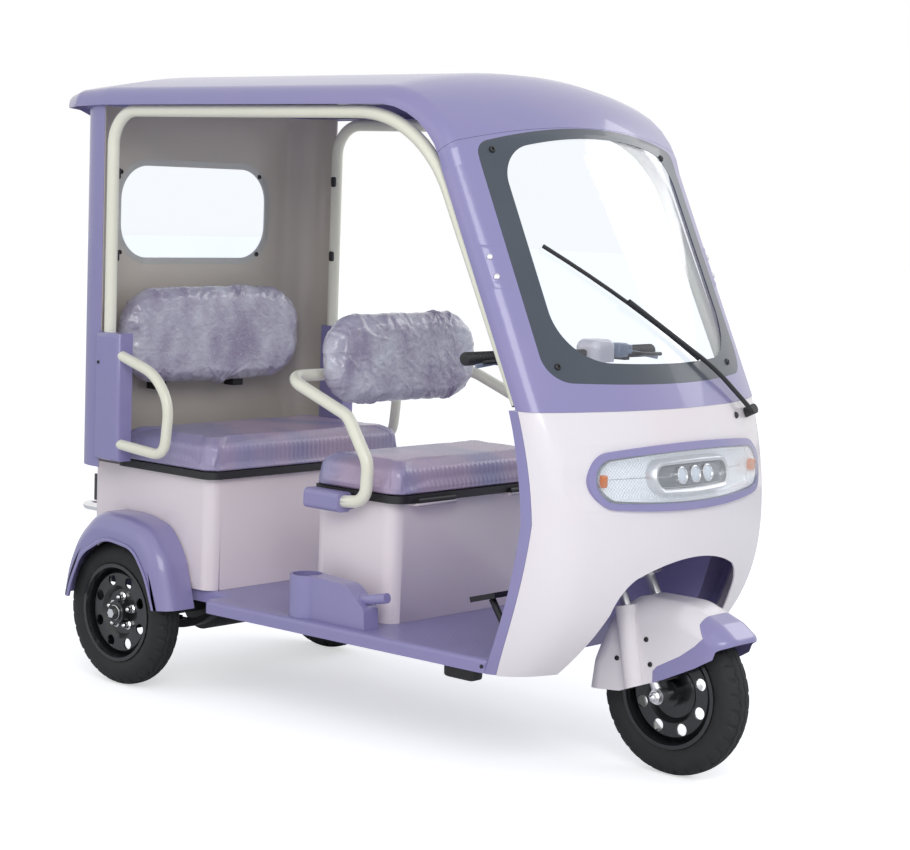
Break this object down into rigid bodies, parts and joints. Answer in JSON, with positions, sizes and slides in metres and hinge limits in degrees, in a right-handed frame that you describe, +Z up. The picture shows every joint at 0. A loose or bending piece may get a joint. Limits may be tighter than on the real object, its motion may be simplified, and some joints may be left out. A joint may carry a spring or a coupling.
{
  "type": "roofed passenger electric tricycle",
  "caption": "Three-wheeled electric passenger tricycle with a moulded roof and windscreen, open doorways, a driver seat and a rear bench.",
  "frame": {"origin": "on the ground under the middle of its length and width", "axes": "+X is the heading, +Y the left-hand side, +Z up"},
  "size_m": [2.175, 0.98, 1.6998],
  "materials": {
    "lilac": "gloss",
    "pearl_white": "gloss",
    "cream_paint": "gloss",
    "wall_paint": "satin",
    "box_paint": "gloss",
    "black_frame": "satin",
    "black_rim": "gloss",
    "black_plastic": "matte",
    "screen_border": "gloss",
    "clear_glass": "polished",
    "lamp_lens": "polished",
    "lamp_housing": "metallised",
    "tyre": "matte",
    "vinyl": "satin",
    "film_pad": "satin, in clear film",
    "silver": "satin",
    "chrome": "polished",
    "red_lamp": "gloss",
    "battery_case": "matte"
  },
  "bodies": {
    "body": {"roof": "lilac", "windscreen_surround": "lilac", "windscreen_pane": "clear_glass", "windscreen_border": "screen_border", "front_shell": "pearl_white", "headlamp_bezel": "lilac", "headlamp_lens": "lamp_lens", "headlamp_housing": "lamp_housing", "leg_shield": "lilac", "wheel_housing": "lilac", "column_cover": "lilac", "floor_pan": "lilac", "chassis": "black_frame", "door_hoops": "cream_paint", "back_wall": "wall_paint", "rear_pane": "clear_glass", "rear_seat_box": "box_paint", "rear_backrest": "film_pad", "rear_backrest_brackets": "black_frame", "front_seat_box": "box_paint", "front_seat_tube": "cream_paint", "front_seat_pods": "lilac", "front_backrest": "film_pad", "side_pods": "lilac", "armrests": "cream_paint", "rear_mudguards": "lilac", "rear_axle": "black_frame", "leaf_springs": "black_frame", "wiper": "black_plastic", "brake_pedal": "black_plastic", "parking_brake_unit": "lilac", "rear_bumper": "chrome", "tail_lamps": "red_lamp", "battery": "battery_case"},
    "steering": {"fork": "silver", "handlebar": "black_plastic", "handlebar_grips": "black_plastic", "handlebar_cowl": "pearl_white", "front_mudguard": "pearl_white", "front_mudguard_trim": "lilac"},
    "front_wheel": {"front_rim": "black_rim", "front_tyre": "tyre"},
    "rear_wheel_right": {"rear_rim_right": "black_rim", "rear_tyre_right": "tyre"},
    "rear_wheel_left": {"rear_rim_left": "black_rim", "rear_tyre_left": "tyre"},
    "rear_seat_lid": {"rear_seat_base": "black_plastic", "rear_seat_cushion": "vinyl"},
    "front_seat_lid": {"front_seat_base": "black_plastic", "front_seat_cushion": "vinyl"}
  },
  "joints": [
    {"name": "steering", "type": "hinge", "parent": "body", "child": "steering", "pos_m": [0.825, 0, 0.204], "axis": [-0.429, 0, 0.9033], "range_deg": [-35, 35]},
    {"name": "front_wheel_spin", "type": "hinge", "parent": "steering", "child": "front_wheel", "pos_m": [0.847, 0, 0.204], "axis": [0, 1, 0], "continuous": true},
    {"name": "rear_wheel_right_spin", "type": "hinge", "parent": "body", "child": "rear_wheel_right", "pos_m": [-0.753, -0.4, 0.204], "axis": [0, 1, 0], "continuous": true},
    {"name": "rear_wheel_left_spin", "type": "hinge", "parent": "body", "child": "rear_wheel_left", "pos_m": [-0.753, 0.4, 0.204], "axis": [0, 1, 0], "continuous": true},
    {"name": "rear_seat_lift", "type": "hinge", "parent": "body", "child": "rear_seat_lid", "pos_m": [-0.846, 0, 0.6104], "axis": [0, -1, 0], "range_deg": [0, 45]},
    {"name": "front_seat_lift", "type": "hinge", "parent": "body", "child": "front_seat_lid", "pos_m": [0.2, 0, 0.6164], "axis": [0, 1, 0], "range_deg": [0, 60]}
  ]
}
